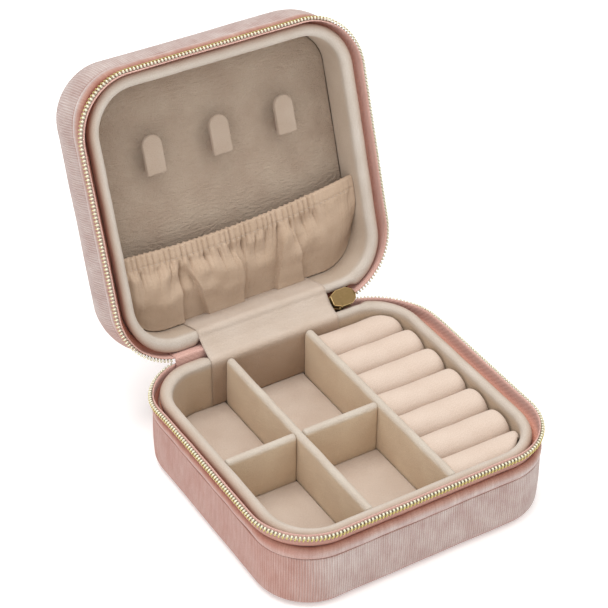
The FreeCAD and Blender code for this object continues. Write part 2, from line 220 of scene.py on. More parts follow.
class Skin:
    """Collects grids and caps, and makes one mesh of them."""

    def __init__(self, lid=False):
        self.points, self.faces, self.uvs, self.lid = [], [], [], lid
        self.count = 0

    def add(self, points):
        points = np.array(points, float).reshape(-1, 3)
        self.points.append(points)
        self.count += len(points)
        return self.count - len(points)

    def grid(self, g, u, v, closed=False):
        """g is (m, n, 3); u and v are the cloth's own measures along each way."""
        m, n = g.shape[:2]
        start = self.add(g)
        for i in range(m if closed else m - 1):
            k = (i + 1) % m
            for j in range(n - 1):
                face = [start + i * n + j, start + k * n + j, start + k * n + j + 1, start + i * n + j + 1]
                self.faces.append(face)
                self.uvs.append([(u[i], v[j]), (u[i + 1], v[j]), (u[i + 1], v[j + 1]), (u[i], v[j + 1])])

    def cap(self, g):
        """Closes a ring of points with one face."""
        start = self.add(g)
        self.faces.append(list(range(start, start + len(g))))
        self.uvs.append([(p[0], p[1]) for p in g])

    def disc(self, ring, crown=0.0, flip=False):
        """Fills a ring with rings that shrink to its middle, which stands crown higher.

        The cloth's v is kept well below zero there, away from the shades at its seams.
        """
        middle = ring.mean(axis=0)
        shares = np.array([1, 0.96, 0.88, 0.75, 0.6, 0.45, 0.3, 0.15, 0])
        g = np.zeros((len(ring), len(shares), 3))
        for j, share in enumerate(shares):
            g[:, j] = middle + (ring - middle) * (share, share, share ** 2)
            g[:, j, 2] += crown * (1 - share ** 3)
        m, n = g.shape[:2]
        start = self.add(g)
        for i in range(m):
            k = (i + 1) % m
            for j in range(n - 1):
                ids = [(i, j), (k, j), (k, j + 1), (i, j + 1)]
                if flip:
                    ids.reverse()
                self.faces.append([start + a * n + b for a, b in ids])
                self.uvs.append([(g[a, b, 0], g[a, b, 1] - 100) for a, b in ids])

    def make(self, name, material, body, nodes=(), weld=0.01, loose=None, lowest=None, closed=True):
        """One mesh object from what was collected, riding on its body.

        loose is the amount, size and seed of the cloth's unevenness; lowest stops it at the table.
        A mesh that is not closed keeps the sides its faces were drawn with.
        """
        pts = np.concatenate(self.points)
        if loose:
            pts = rough(pts, *loose)
        if lowest is not None:
            pts[:, 2] = np.maximum(pts[:, 2], lowest)
        if self.lid:
            pts = to_lid(pts)
        mesh = bpy.data.meshes.new(name)
        mesh.from_pydata((pts * MM).tolist(), [], self.faces)
        layer = mesh.uv_layers.new(name="cloth")
        layer.data.foreach_set("uv", [c for face in self.uvs for uv in face for c in uv])
        mesh.update()
        bm = bmesh.new()
        bm.from_mesh(mesh)
        bmesh.ops.remove_doubles(bm, verts=bm.verts, dist=weld * MM)
        if closed:
            bmesh.ops.recalc_face_normals(bm, faces=bm.faces)
        elif self.lid:
            bmesh.ops.reverse_faces(bm, faces=bm.faces)
        for face in bm.faces:
            face.smooth = True
        bm.to_mesh(mesh)
        bm.free()
        obj = bpy.data.objects.new(name, mesh)
        bpy.context.scene.collection.objects.link(obj)
        obj.data.materials.append(material)
        if nodes:
            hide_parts(*nodes)
        if body:
            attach(obj, body)
        return obj


def thicken(obj, thickness, offset=0.0):
    """Gives a cloth its thickness."""
    mod = obj.modifiers.new("thickness", "SOLIDIFY")
    mod.thickness = thickness * MM
    mod.offset = offset
    return obj


# ------------------------------------------------------------------ materials
class Nodes:
    """A material's node tree, with the few steps that the cloths share."""

    def __init__(self, name, coords="cloth"):
        self.material = bpy.data.materials.new(name)
        self.material.use_nodes = True
        self.tree = self.material.node_tree
        self.shader = self.tree.nodes["Principled BSDF"]
        if coords == "cloth":
            source = self.new("ShaderNodeUVMap")
            source.uv_map = "cloth"
            self.coords = source.outputs["UV"]
        else:
            source = self.new("ShaderNodeTexCoord")
            scale = self.new("ShaderNodeVectorMath", operation="SCALE")
            scale.inputs["Scale"].default_value = 1 / MM
            self.link(source.outputs["Object"], scale.inputs[0])
            self.coords = scale.outputs["Vector"]

    def new(self, kind, **settings):
        node = self.tree.nodes.new(kind)
        for key, value in settings.items():
            setattr(node, key, value)
        return node

    def link(self, a, b):
        self.tree.links.new(a, b)

    def set(self, **values):
        for key, value in values.items():
            self.shader.inputs[key.replace("_", " ")].default_value = value

    def stretch(self, x, y, z=1.0):
        """The coordinates divided by a size in mm along each way."""
        node = self.new("ShaderNodeVectorMath", operation="DIVIDE")
        node.inputs[1].default_value = (x, y, z)
        self.link(self.coords, node.inputs[0])
        return node.outputs["Vector"]

    def noise(self, x, y, detail=2.0, roughness=0.5):
        node = self.new("ShaderNodeTexNoise")
        node.inputs["Scale"].default_value = 1.0
        node.inputs["Detail"].default_value = detail
        node.inputs["Roughness"].default_value = roughness
        self.link(self.stretch(x, y, x), node.inputs["Vector"])
        return node.outputs["Fac"]

    def ramp(self, value, stops):
        node = self.new("ShaderNodeValToRGB")
        ramp = node.color_ramp
        while len(ramp.elements) < len(stops):
            ramp.elements.new(0.5)
        for element, (at, colour) in zip(ramp.elements, stops):
            element.position = at
            element.color = colour
        self.link(value, node.inputs["Fac"])
        return node.outputs["Color"]

    def mix(self, share, a, b, blend="MIX"):
        node = self.new("ShaderNodeMix", data_type="RGBA", blend_type=blend)
        for value, socket in ((share, 0), (a, 6), (b, 7)):
            if isinstance(value, (float, int, tuple)):
                node.inputs[socket].default_value = value
            else:
                self.link(value, node.inputs[socket])
        return node.outputs[2]

    def along(self, way, stops):
        """A colour by the distance in mm along the cloth's u (0) or v (1)."""
        parts = self.new("ShaderNodeSeparateXYZ")
        self.link(self.coords, parts.inputs[0])
        low, high = stops[0][0], stops[-1][0]
        share = self.new("ShaderNodeMapRange")
        share.inputs["From Min"].default_value = low
        share.inputs["From Max"].default_value = high
        self.link(parts.outputs[way], share.inputs["Value"])
        return self.ramp(share.outputs["Result"], [((at - low) / (high - low), c) for at, c in stops])

    def facing(self, way):
        """From 0 to 1 as the surface turns to face the way given."""
        source = self.new("ShaderNodeTexCoord")
        node = self.new("ShaderNodeVectorMath", operation="DOT_PRODUCT")
        node.inputs[1].default_value = Vector(way).normalized()
        self.link(source.outputs["Normal"], node.inputs[0])
        return node.outputs["Value"]

    def ribs(self, pitch):
        """A wave from 0 to 1 across the cloth's u."""
        parts = self.new("ShaderNodeSeparateXYZ")
        self.link(self.coords, parts.inputs[0])
        turn = self.new("ShaderNodeMath", operation="MULTIPLY")
        turn.inputs[1].default_value = 2 * math.pi / pitch
        self.link(parts.outputs[0], turn.inputs[0])
        wave = self.new("ShaderNodeMath", operation="COSINE")
        self.link(turn.outputs[0], wave.inputs[0])
        half = self.new("ShaderNodeMath", operation="MULTIPLY_ADD")
        half.inputs[1].default_value = 0.5
        half.inputs[2].default_value = 0.5
        self.link(wave.outputs[0], half.inputs[0])
        return half.outputs[0]

    def sum(self, a, b, share=1.0):
        node = self.new("ShaderNodeMath", operation="MULTIPLY_ADD")
        node.inputs[1].default_value = share
        self.link(b, node.inputs[0])
        self.link(a, node.inputs[2])
        return node.outputs["Value"]

    def bump(self, height, depth, strength=1.0):
        node = self.new("ShaderNodeBump")
        node.inputs["Distance"].default_value = depth * MM
        node.inputs["Strength"].default_value = strength
        self.link(height, node.inputs["Height"])
        self.link(node.outputs["Normal"], self.shader.inputs["Normal"])

    def colour(self, value):
        self.link(value, self.shader.inputs["Base Color"])


WHITE, BLACK = (1, 1, 1, 1), (0, 0, 0, 1)
SHELL_LENGTH = 4 * (HALF_W + HALF_D) - (8 - 2 * math.pi) * CORNER_R
RIB = SHELL_LENGTH / RIB_COUNT


def velvet(name, folds, painted_sheen_way, ribbed=True):
    """Pink pile velvet, with painted sheen: paler where it faces painted_sheen_way, the way the lamps light it.

    folds gives the stops of painted shade that darken it in its seams and grooves, by distance up the cloth.
    """
    n = Nodes(name)
    blotch = n.noise(7.0, 9.0, detail=4.0, roughness=0.6)
    brushed = n.noise(0.5, 7.0, detail=3.0)
    pile = n.noise(0.26, 0.26, detail=2.0)
    base = n.ramp(blotch, [(0.32, VELVET_DEEP), (0.68, VELVET_PALE)])
    sheen_lit = n.ramp(blotch, [(0.32, PAINTED_SHEEN_DEEP), (0.68, PAINTED_SHEEN_PALE)])
    # painted sheen: paler where the velvet faces the lamps
    base = n.mix(n.ramp(n.facing(painted_sheen_way), [(0.0, BLACK), (0.55, WHITE)]), base, sheen_lit)
    base = n.mix(1.0, base, n.ramp(brushed, [(0.3, srgb(238, 230, 228)), (0.7, WHITE)]), "MULTIPLY")
    base = n.mix(1.0, base, n.ramp(pile, [(0.28, srgb(226, 216, 212)), (0.7, WHITE)]), "MULTIPLY")
    height = pile
    if ribbed:
        rib = n.ribs(RIB)
        # painted shade: the velvet darker in the valleys of its ribs
        base = n.mix(1.0, base, n.ramp(rib, [(0.15, srgb(236, 226, 223)), (0.8, WHITE)]), "MULTIPLY")
        height = n.sum(pile, rib, 1.3)
    # painted shade in the seams and grooves, by distance up the cloth
    n.colour(n.mix(1.0, base, n.along(1, folds), "MULTIPLY"))
    n.bump(height, 0.07, 0.7)
    n.set(Roughness=0.85, Sheen_Weight=0.35, Sheen_Roughness=0.4, Sheen_Tint=(0.95, 0.90, 0.90, 1.0),
          Specular_IOR_Level=0.12)
    return n.material


def suede(name, colour, shade, coords="cloth", grain=1.0, shaded=None):
    """Matte lining suede: a fine nap over faint leathery wrinkles; shaded darkens it by its v."""
    n = Nodes(name, coords)
    nap = n.noise(0.32, 0.32, detail=3.0, roughness=0.6)
    wrinkle = n.noise(2.1, 1.0, detail=4.0, roughness=0.55)
    cloud = n.noise(11.0, 11.0, detail=2.0)
    base = n.ramp(cloud, [(0.3, shade), (0.7, colour)])
    base = n.mix(1.0, base, n.ramp(nap, [(0.3, srgb(232, 227, 220)), (0.7, WHITE)]), "MULTIPLY")
    if shaded:
        base = n.mix(1.0, base, n.along(1, shaded), "MULTIPLY")
    n.colour(base)
    n.bump(n.sum(nap, wrinkle, 2.2), 0.13 * grain, 0.7)
    n.set(Roughness=0.9, Sheen_Weight=0.18, Sheen_Roughness=0.5, Sheen_Tint=(1.0, 0.95, 0.9, 1.0),
          Specular_IOR_Level=0.12)
    return n.material


def woven_tape(name, stops):
    """Zipper tape: a fine weave, in deep shade at its foot and pale at its edge."""
    n = Nodes(name)
    weft = n.new("ShaderNodeTexWave", wave_type="BANDS", bands_direction="DIAGONAL")
    weft.inputs["Scale"].default_value = 1.0
    weft.inputs["Distortion"].default_value = 1.2
    n.link(n.stretch(3.0, 3.0, 3.0), weft.inputs["Vector"])
    thread = n.noise(0.22, 0.34, detail=2.0)
    base = n.mix(1.0, n.along(1, stops), n.ramp(thread, [(0.3, srgb(214, 196, 190)), (0.7, WHITE)]), "MULTIPLY")
    n.colour(base)
    n.bump(n.sum(thread, weft.outputs["Fac"], 1.0), 0.08, 0.8)
    n.set(Roughness=0.8, Sheen_Weight=0.15, Sheen_Roughness=0.4, Specular_IOR_Level=0.15)
    return n.material


def metal(name, low, high, roughness, metallic=1.0, coords="cloth", shaded=None):
    """Plated metal with faint handling marks; shaded tints it by its u, where the coil gets its painted
    highlight and shade.
    """
    n = Nodes(name, coords)
    marks = n.noise(1.6, 0.7, detail=4.0)
    base = n.ramp(marks, [(0.3, low), (0.7, high)])
    n.colour(n.mix(1.0, base, n.along(0, shaded), "MULTIPLY") if shaded else base)
    n.link(n.ramp(marks, [(0.3, (roughness * 0.8,) * 3 + (1,)), (0.7, (roughness * 1.2,) * 3 + (1,))]),
           n.shader.inputs["Roughness"])
    n.bump(marks, 0.01, 0.4)
    n.set(Metallic=metallic)
    return n.material


def thread(name, colour):
    """Sewing thread."""
    n = Nodes(name)
    twist = n.noise(0.15, 0.5, detail=2.0)
    n.colour(n.ramp(twist, [(0.3, tuple(c * 0.8 for c in colour[:3]) + (1,)), (0.7, colour)]))
    n.bump(twist, 0.03, 0.6)
    n.set(Roughness=0.6)
    return n.material


VELVET_DEEP, VELVET_PALE = srgb(188, 150, 140), srgb(198, 169, 161)
PAINTED_SHEEN_DEEP, PAINTED_SHEEN_PALE = srgb(187, 170, 166), srgb(206, 199, 196)   # painted sheen: the velvet paler and greyer where it faces the lamps
PAINTED_SHEEN_WAYS = {"base": (0.5, -0.6, 0.7), "lid": (-0.55, 0.1, 0.8)}  # the ways the painted sheen faces, towards the viewer's light
SEAM_SHADE, GROOVE_SHADE = srgb(246, 222, 213), srgb(198, 128, 106)
# painted shade: the side darker just under its seam; the rolled edge darker at the seam and deep reddish down
# into the groove under the zipper
SIDE_SEAM_SHADE = [(-2.6, WHITE), (-1.35, WHITE), (-1.0, SEAM_SHADE), (0.0, SEAM_SHADE)]
EDGE_GROOVE_SHADE = [(0.0, SEAM_SHADE), (0.8, WHITE), (2.4, WHITE), (4.2, srgb(240, 208, 196)),
              (5.4, srgb(222, 172, 154)), (6.6, GROOVE_SHADE)]
VELVET = {half: velvet(half + " ribbed velvet", SIDE_SEAM_SHADE, way) for half, way in PAINTED_SHEEN_WAYS.items()}
EDGE_VELVET = {half: velvet(half + " edge velvet", EDGE_GROOVE_SHADE, way, ribbed=False)
               for half, way in PAINTED_SHEEN_WAYS.items()}
IN_SHADE = srgb(252, 238, 219)
CREST, SIDE = srgb(230, 230, 230), srgb(252, 240, 222)          # painted shade of a divider: its sides tinted warm as by light bounced between the boards, its crest left greyer
BOARD_SHADE = [(-30.0, SIDE), (-2.6, SIDE), (-1.2, CREST), (1.2, CREST), (2.6, SIDE), (30.0, SIDE)]
LINING = suede("lining suede", srgb(224, 215, 203), srgb(215, 202, 189), shaded=BOARD_SHADE)
# painted shade: the rim's outer flank deep reddish-brown down into the trough by the zipper tape, pale on its
# crest
FLANK_SHADE = [(-4.0, srgb(206, 150, 128)), (-2.3, srgb(222, 184, 168)), (-1.0, srgb(240, 228, 220)), (0.2, WHITE),
         (1.8, WHITE)]
# painted shade down the inner faces of the walls: IN_SHADE in the tray, a darker beige in the lid
TRAY_RIM = suede("tray lining suede", srgb(200, 190, 181), srgb(192, 181, 170),
                 shaded=FLANK_SHADE + [(4.0, IN_SHADE), (30.0, IN_SHADE)])
LID_RIM = suede("lid lining suede", srgb(206, 198, 190), srgb(198, 188, 178),
                shaded=FLANK_SHADE + [(4.0, srgb(246, 237, 227)), (30.0, srgb(236, 222, 208))])
PANEL = suede("panel suede", srgb(185, 168, 152), srgb(173, 154, 138), grain=4.2)
FLOORING = suede("floor suede", srgb(206, 191, 179), srgb(198, 181, 168))
# painted shade: the hinge strip darker low down, where it runs inside the tray
STRIP = suede("hinge strip suede", srgb(204, 191, 180), srgb(196, 181, 168),
              shaded=[(0.0, srgb(212, 196, 180)), (15.0, srgb(226, 212, 198)), (19.0, WHITE), (50.0, WHITE)])
ROLLS = suede("roll suede", srgb(214, 198, 186), srgb(208, 190, 177), grain=0.6)
POCKET = suede("pocket suede", srgb(198, 176, 156), srgb(188, 165, 144), grain=1.0)
HOOKS = suede("hook suede", srgb(182, 166, 152), srgb(173, 155, 140))
HIDDEN = suede("board and foam", srgb(168, 146, 132), srgb(152, 130, 117), coords="object")
# Zipper tape: its glued foot, the part behind the teeth, and its edge; painted shade makes the foot and the
# groove deep reddish and leaves the edge pale.
FOOT, BEHIND_TEETH, EDGE = srgb(206, 142, 124), srgb(204, 188, 174), srgb(218, 182, 172)
TAPE_OUTSIDE = woven_tape("tape outside", [(0.0, FOOT), (5.0, srgb(176, 118, 102)), (6.0, srgb(190, 150, 138)),
                                          (7.2, srgb(180, 142, 132)), (7.5, BEHIND_TEETH), (8.7, BEHIND_TEETH),
                                          (9.0, EDGE), (12.0, EDGE)])
TAPE_INSIDE = woven_tape("tape inside", [(0.0, srgb(210, 132, 106)), (3.6, srgb(222, 162, 140)),
                                        (5.8, srgb(226, 180, 166)), (7.6, EDGE), (12.0, EDGE)])
HINGE_TAPE = woven_tape("hinge tape", [(0.0, EDGE), (40.0, EDGE)])
# the coil's tint by u: its own yellow on the legs, a painted highlight on the bead of each tooth and painted
# shade on the legs behind the tape
COIL = metal("coil", srgb(228, 222, 200), WHITE, 0.24, 0.4,
             shaded=[(0.0, srgb(196, 182, 108)), (1.8, srgb(208, 196, 126)), (2.2, srgb(240, 238, 224)),
                     (2.9, srgb(222, 220, 204)), (3.4, srgb(140, 139, 124)), (4.4, srgb(108, 106, 94))])
GOLD = metal("slider gold", srgb(108, 88, 54), srgb(124, 102, 67), 0.42, 0.8, coords="object")
# painted highlight: a brighter gold for the bevelled edges of the slider and the pull tab, where they catch the
# light
PAINTED_HIGHLIGHT_GOLD = metal("gold edge painted highlight", srgb(226, 192, 130), srgb(240, 210, 152), 0.3, 0.5, coords="object")
STITCH = thread("stitching", srgb(196, 178, 160))
ELASTIC = suede("elastic", srgb(232, 226, 216), srgb(222, 214, 202), coords="object")


# --------------------------------------------------------------- velvet shells
def velvet_shell(lid):
    """The velvet cover, from the middle of its flat face to the seam below the band."""
    foot = LID_BACK_Z if lid else 0.0
    bulge = 0.9 if lid else 0.25
    shape = rectangle(HALF_W, -HALF_D, HALF_D, (CORNER_R,) * 4)
    stations, along = even_stations(shape, RIB / 4)
    pts, nrm = place(shape, stations)
    corner = [(y - EDGE_R, z) for y, z in arc(0, foot + EDGE_R, EDGE_R, -90, 0, 7)]
    rise = SEAM_Z - foot - EDGE_R
    side = [(bulge * math.sin(math.pi * t) * (1 - 0.3 * t), foot + EDGE_R + rise * t)
            for t in np.linspace(0, 0.95, 10)[1:]]
    lip = [(0.05, SEAM_Z - 0.3), (-0.10, SEAM_Z - 0.04), (-1.1, SEAM_Z)]
    profile = corner + side + lip
    grid = swept(pts, nrm, profile)
    depth = 0.05 * np.cos(2 * math.pi * along[:-1] / RIB)
    fade = np.clip((np.arange(len(profile)) - 1) / 5.0, 0, 1)
    fade[-2:] = 0
    grid[:, :, :2] += nrm[:, None, :] * (depth[:, None] * fade[None, :])[..., None]
    skin = Skin(lid)
    climb = lengths_along(profile)
    skin.grid(grid, along, climb - climb[-1], closed=True)
    skin.disc(grid[:, 0], -1.1 if lid else 0.0, flip=True)
    name = "lid" if lid else "base"
    return skin.make(name + "_velvet_cover", VELVET[name], name, [name + "_velvet"], weld=0.004,
                     loose=(0.18, 15.0, 3 + lid), lowest=None if lid else 0.0)


def velvet_band(lid):
    """The soft rolled edge between the seam and the zipper."""
    shape = rectangle(HALF_W, -HALF_D, HALF_D, (CORNER_R,) * 4)
    stations, along = even_stations(shape, 0.8)
    pts, nrm = place(shape, stations)
    profile = [(-1.1, SEAM_Z + 0.05), (-0.10, SEAM_Z + 0.06), (0.08, SEAM_Z + 0.4), (0.22, SEAM_Z + 1.0),
               (0.32, SEAM_Z + 2.0), (0.22, BAND_TOP - 1.2), (-0.1, BAND_TOP - 0.5), (-0.65, BAND_TOP - 0.1),
               (-1.2, BAND_TOP), (-1.75, BAND_TOP - 0.35), (-2.0, BAND_TOP - 1.2), (-2.1, SEAM_Z)]
    grid = rough(swept(pts, nrm, profile), 0.16, 7.0, 11 + lid)
    skin = Skin(lid)
    skin.grid(grid, along, lengths_along(profile), closed=True)
    name = "lid" if lid else "base"
    return skin.make(name + "_rolled_edge", EDGE_VELVET[name], name, [name + "_band"])


# ---------------------------------------------------------------------- zipper
def zipper_rings(pitch):
    """The zipper's loop, the tape's foot round the lining, and even stations on them."""
    loop = rectangle(ZIP_X, ZIP_FRONT, ZIP_BACK, ZIP_R)
    foot = rectangle(WALL_W + 0.3, -WALL_D - 0.3, WALL_D + 0.3, (WALL_R,) * 4)
    stations, along = even_stations(loop, pitch)
    return loop, foot, stations, along


def sink(p, lid):
    """How far the base's zipper droops behind the tray, towards the hinge and under the slider."""
    tail = smooth((ZIP_RIGHT_END + 0.8 - p[0]) / 2.0) if p[1] > BACK_RUN_Y and p[0] > 0 else 0.0
    return 0.0 if lid else 1.7 * smooth((p[1] - 18.0) / 24.0) + 1.1 * tail


def in_run(p, left_end, right_end):
    """True where the zipper runs: not along the hinge."""
    return not (p[1] > BACK_RUN_Y and left_end < p[0] < right_end)


def tape_side(lid):
    """The tape leans out from the lining wall to the teeth, and stands up behind them."""
    loop, foot, stations, along = zipper_rings(0.9)
    top, nrm = place(loop, stations)
    low, _ = place(foot, stations)
    rows = [(0.0, 20.0), (0.0, 21.6), (0.12, 22.5), (0.45, 23.1), (0.8, 23.5), (0.96, 24.2), (1.0, 25.6),
            (1.0, 27.0), (1.0, 28.1)]
    grid = np.zeros((len(top), len(rows), 3))
    for j, (share, z) in enumerate(rows):
        grid[:, j, :2] = low * (1 - share) + (top - nrm * 0.95) * share
        grid[:, j, 2] = [z - share * sink(p, lid) for p in top]
    grid = rough(grid, 0.12, 9.0, 21 + lid)
    keep = [i for i, p in enumerate(top) if in_run(p, ZIP_LEFT_END, ZIP_RIGHT_END if lid else TAIL_END)]
    order = np.array(keep)
    skin = Skin(lid)
    skin.grid(grid[order], along[order], lengths_along([(s * 3, z) for s, z in rows]))
    name = "lid" if lid else "base"
    obj = skin.make(name + "_zipper_tape", TAPE_OUTSIDE, name, [name + "_tape"], closed=False)
    obj.data.materials.append(TAPE_INSIDE)
    thicken(obj, 0.35).modifiers["thickness"].material_offset = 1
    return obj


def teeth(lid):
    """Each tooth is one turn of the coil: a bead at the mouth and a slanted leg on each side of the tape."""
    loop, _, stations, _ = zipper_rings(TOOTH_PITCH)
    pts, nrm = place(loop, stations)
    # out from the tape, height, slip along the tape, radius
    turn = [(-0.50, COIL_TOP - 1.45, -0.33, 0.13), (-0.05, COIL_TOP - 1.62, -0.33, 0.18),
            (0.24, COIL_TOP - 1.52, -0.27, 0.22), (0.36, COIL_TOP - 1.20, -0.16, 0.23),
            (0.34, COIL_TOP - 0.82, -0.02, 0.25), (0.24, COIL_TOP - 0.54, 0.05, 0.32),
            (0.06, COIL_TOP - 0.34, 0.09, 0.37), (-0.18, COIL_TOP - 0.30, 0.09, 0.36),
            (-0.42, COIL_TOP - 0.54, 0.07, 0.29), (-0.58, COIL_TOP - 1.0, 0.05, 0.22),
            (-0.62, COIL_TOP - 1.6, 0.02, 0.16)]
    sides = 8
    skin = Skin(lid)
    for p, n in zip(pts, nrm):
        if not in_run(p, TOOTH_LEFT_END, ZIP_RIGHT_END):
            continue
        tangent = np.array((-n[1], n[0]))
        centre = np.array([[*(p + n * off + tangent * slip), z - sink(p, lid)] for off, z, slip, _ in turn])
        across = np.array((*tangent, 0.0))
        rings = np.zeros((len(turn), sides + 1, 3))
        for j, (_, _, _, radius) in enumerate(turn):
            step = centre[min(j + 1, len(turn) - 1)] - centre[max(j - 1, 0)]
            step /= np.linalg.norm(step)
            other = np.cross(step, across)
            for a in range(sides + 1):
                angle = 2 * math.pi * a / sides
                rings[j, a] = centre[j] + radius * (across * math.cos(angle) + other * math.sin(angle))
        skin.grid(rings, np.arange(len(turn)) * 0.4, np.linspace(0, 1.6, sides + 1))
        skin.cap(rings[0, :-1])
        skin.cap(rings[-1, :-1])
    name = "lid" if lid else "base"
    return skin.make(name + "_zipper_teeth", COIL, name, [name + "_coil"], weld=0.005)


# ---------------------------------------------------------------------- lining
def swell(p, n, lid):
    """How far the rim's padding stands out past its board, clear of the slider and the hinge strip."""
    left, right, front, back = (0.2, 1.2, 0.9, 1.7) if lid else (0.9, 0.4, 0.7, 1.6)
    clear = smooth((-22.8 - p[0]) / 3.0) + smooth((p[0] - 33.6) / 3.0)
    return (left * max(0.0, -n[0]) ** 2 + right * max(0.0, n[0]) ** 2
            + front * max(0.0, -n[1]) ** 2 + back * clear * max(0.0, n[1]) ** 2)


def lining_wall(lid):
    """Suede over a padded board, with a soft round rim."""
    low = PANEL_Z - 0.3 if lid else FLOOR_Z - 0.8
    shape = rectangle(WALL_W, -WALL_D, WALL_D, (WALL_R,) * 4)
    stations, along = even_stations(shape, 1.0)
    pts, nrm = place(shape, stations)
    outer = [(0.0, z) for z in np.linspace(low, RIM_Z - RIM_ROUND - 0.4, 6)]
    rim = [(o, z) for o, z in arc(-WALL_T / 2, RIM_Z - RIM_ROUND, RIM_ROUND + 0.07, 8, 172, 12)]
    inner = [(-WALL_T, z) for z in np.linspace(RIM_Z - RIM_ROUND - 0.4, low, 12)]
    profile = outer + rim + inner
    grid = swept(pts, nrm, profile)
    bulge = np.array([swell(p, n, lid) for p, n in zip(pts, nrm)])
    share = np.array([smooth((z - 22.4) / 2.2) * smooth((off + WALL_T) / WALL_T) for off, z in profile])
    grid[:, :, :2] += nrm[:, None, :] * (bulge[:, None] * share[None, :])[..., None]
    grid = rough(grid, 0.12, 9.0, 31 + lid)
    skin = Skin(lid)
    climb = lengths_along(profile)
    skin.grid(grid, along, climb - climb[len(outer) + len(rim) // 2], closed=True)
    if lid:
        return skin.make("lid_lining", LID_RIM, "lid", ["lid_wall"])
    return skin.make("tray_lining", TRAY_RIM, "base", ["tray_wall"])


def wrapped_board(name, x0, x1, y0, y1, nodes):
    """A divider: suede folded over a board, rounded along its top and eased at its ends."""
    along_x = x1 - x0 > y1 - y0
    length = (x1 - x0) if along_x else (y1 - y0)
    low, shoulder = FLOOR_Z - 0.6, DIV_TOP - HALF_T
    section = ([(-HALF_T, z) for z in np.linspace(low, shoulder - 0.3, 9)]
               + arc(0, shoulder, HALF_T, 172, 8, 12)
               + [(HALF_T, z) for z in np.linspace(shoulder - 0.3, low, 9)])
    ends = [0.0, 0.12, 0.35, 0.8]
    inner = np.linspace(1.5, length - 1.5, max(4, round(length / 1.2)))
    stations = np.concatenate([ends, inner, [length - e for e in reversed(ends)]])
    squeeze = {0.0: 0.55, 0.12: 0.28, 0.35: 0.10, 0.8: 0.0}
    grid = np.zeros((len(stations), len(section), 3))
    for i, s in enumerate(stations):
        edge = min(s, length - s)
        pull = next((v for k, v in squeeze.items() if abs(k - edge) < 1e-6), 0.0)
        for j, (off, z) in enumerate(section):
            o = off * (1 - pull / HALF_T)
            top = z - pull if z > shoulder else z
            grid[i, j] = (x0 + s, (y0 + y1) / 2 + o, top) if along_x else ((x0 + x1) / 2 - o, y0 + s, top)
    grid = rough(grid, 0.12, 8.0, len(name) + x0)
    skin = Skin()
    climb = lengths_along(section)
    skin.grid(grid, stations, climb - climb[-1] / 2)
    skin.cap(grid[0])
    skin.cap(grid[-1])
    return skin.make(name, LINING, "base", nodes)


def corner_pad(skin, x0, x1, y0, y1, radii, top, depth, crown):
    """A thin padded board with eased edges and a slight crown."""
    cx, cy = (x0 + x1) / 2, (y0 + y1) / 2
    shape = rectangle((x1 - x0) / 2, y0 - cy, y1 - cy, radii)
    stations, along = even_stations(shape, 0.8)
    pts, nrm = place(shape, stations)
    pts = pts + (cx, cy)
    profile = [(0, top - depth), (0, top - 0.45), (-0.12, top - 0.15), (-0.45, top)]
    grid = swept(pts, nrm, profile)
    skin.grid(grid, along, lengths_along(profile), closed=True)
    skin.disc(grid[:, -1], crown)


def tray_floor():
    """Four floor pads, one in each compartment, so that a dark joint shows round each."""
    skin = Skin()
    gap = 0.22
    left, right = DIV_X
    columns = [(-IN_W + gap, left - HALF_T - gap), (left + HALF_T + gap, right - HALF_T - gap)]
    rows = [(-IN_D + gap, CROSS_Y - HALF_T - gap), (CROSS_Y + HALF_T + gap, IN_D - gap)]
    sharp = 0.4
    for i, (x0, x1) in enumerate(columns):
        for j, (y0, y1) in enumerate(rows):
            radii = [sharp] * 4
            if i == 0:
                radii[0 if j == 0 else 3] = IN_R - gap
            corner_pad(skin, x0, x1, y0, y1, radii, FLOOR_Z, 1.5, 0.15)
    return skin.make("floor_pads", FLOORING, "base", ["tray_floor"], loose=(0.05, 6.0, 41))


def lid_panel():
    """The padded panel that lines the lid."""
    skin = Skin(lid=True)
    gap = 0.2
    corner_pad(skin, -IN_W + gap, IN_W - gap, -IN_D + gap, IN_D - gap, [IN_R - gap] * 4,
               PANEL_Z, 1.6, 0.25)
    return skin.make("lid_lining_panel", PANEL, "lid", ["lid_panel"], loose=(0.12, 7.0, 43))


def ring_roll(index):
    """A foam roll in suede: round on top, squeezed by its neighbours, eased at its right end."""
    low, high = node_box("ring_roll_%d" % index)
    y, r = (low[1] + high[1]) / 2, (high[1] - low[1]) / 2 + 0.06
    x0, x1 = low[0], min(high[0], ROLLS_RIGHT_X)
    corner_x, corner_y = IN_W - IN_R, IN_D - IN_R
    crest = high[2]
    section = [(-r, crest - 9.5), (-r, crest - 7.6)]
    section += [(r * math.copysign(abs(math.cos(a)) ** 0.92, math.cos(a)),
                 crest - r + r * math.sin(a) ** 0.95)
                for a in np.linspace(math.pi * 0.985, math.pi * 0.015, 26)]
    section += [(r, crest - 7.6), (r, crest - 9.5)]
    ends = [(0.0, 1.5), (0.12, 0.95), (0.4, 0.5), (0.9, 0.18), (1.6, 0.0)]
    grid = []
    inner = list(np.linspace(0, 1, 26)[:-1])
    for share in inner + [1 + k for k in range(len(ends))]:
        row = []
        for off, z in section:
            here = y + off
            reach = x1
            past = abs(here) - corner_y
            if past > 0:
                reach = min(reach, corner_x + math.sqrt(max(IN_R ** 2 - past ** 2, 9.0)) - 0.7)
            if share < 1:
                x, pull = x0 + (reach - ends[-1][0] - x0) * share, 0.0
            else:
                back, pull = ends[len(ends) - 1 - int(share - 1)]
                x = reach - back
            row.append((x, here - math.copysign(min(pull * 0.5, abs(off)), off),
                        z - pull * max(0.0, (z - crest + r) / r)))
        grid.append(row)
    grid = rough(np.array(grid), 0.22, 8.0, 50 + index)
    skin = Skin()
    skin.grid(grid, np.linspace(0, x1 - x0, len(grid)), lengths_along(section))
    skin.cap(grid[0])
    skin.cap(grid[-1])
    obj = skin.make("ring_cushion_%d" % index, ROLLS, "base", ["ring_roll_%d" % index])
    return obj


